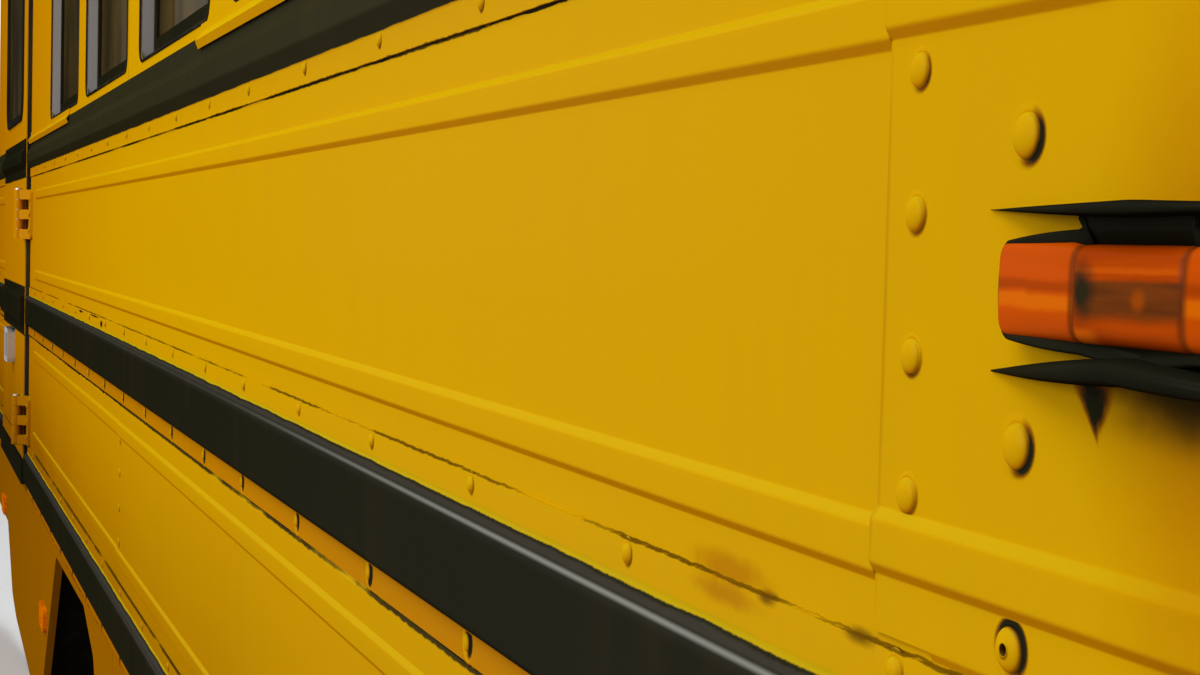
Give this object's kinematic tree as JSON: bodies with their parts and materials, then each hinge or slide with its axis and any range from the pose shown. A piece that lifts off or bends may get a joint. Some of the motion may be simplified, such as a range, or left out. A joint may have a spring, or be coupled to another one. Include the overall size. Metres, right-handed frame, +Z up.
{
  "type": "school bus body side",
  "caption": "Rear part of a school bus's right-hand body side: ribbed yellow panels, black rub rails, split-sash windows, wheel arch and a hinged side door.",
  "frame": {"origin": "on the floor sill's inboard face, at the floor line and at mid length", "axes": "+X forward along the bus, -Y outboard, +Z up"},
  "size_m": [6.103, 0.2671, 1.941],
  "materials": {
    "yellow_paint": "semi-gloss",
    "black_paint": "satin",
    "lining_paint": "satin",
    "frame_steel": "satin",
    "bare_aluminium": "satin",
    "bright_steel": "brushed",
    "window_glass": "polished",
    "black_rubber": "matt",
    "amber_lens": "glossy",
    "black_plastic": "satin"
  },
  "bodies": {
    "side": {"floor_sill": "frame_steel", "body_posts": "frame_steel", "door_jambs": "yellow_paint", "cant_rail": "frame_steel", "stringers": "frame_steel", "skirt_hangers": "frame_steel", "wheelhouse": "frame_steel", "belt_panel_front": "yellow_paint", "belt_panel_rear": "yellow_paint", "lower_panel_front": "yellow_paint", "lower_panel_rear": "yellow_paint", "window_sheets": "yellow_paint", "door_header": "yellow_paint", "sill_lips": "yellow_paint", "drip_rail": "yellow_paint", "skirt_panels": "yellow_paint", "skirt_arch": "yellow_paint", "upper_rail": "black_paint", "seat_rail": "black_paint", "floor_rail": "black_paint", "door_threshold": "black_paint", "window_frames": "bare_aluminium", "window_sashes": "black_paint", "window_glass": "window_glass", "sash_latches": "black_plastic", "wall_lining": "lining_paint", "chair_rail": "lining_paint", "window_stools": "lining_paint", "window_lining": "lining_paint", "lamp_base": "black_plastic", "lamp_guard": "black_paint", "lamp_lens": "amber_lens", "lamp_bulb": "bright_steel", "side_reflectors": "amber_lens", "body_hinge_leaves": "yellow_paint", "hinge_pins": "bright_steel", "door_seals": "black_rubber"},
    "door": {"door_skin": "yellow_paint", "door_frame": "frame_steel", "door_inner_panel": "lining_paint", "door_glass": "window_glass", "door_gasket": "black_rubber", "door_rails": "black_paint", "door_handle": "bright_steel", "door_latch_bars": "bright_steel", "door_hinge_leaves": "yellow_paint"}
  },
  "joints": [
    {"name": "door_swing", "type": "hinge", "parent": "side", "child": "door", "pos_m": [-1.7455, -0.084, 0.545], "axis": [0, 0, 1], "range_deg": [0, 170]}
  ]
}
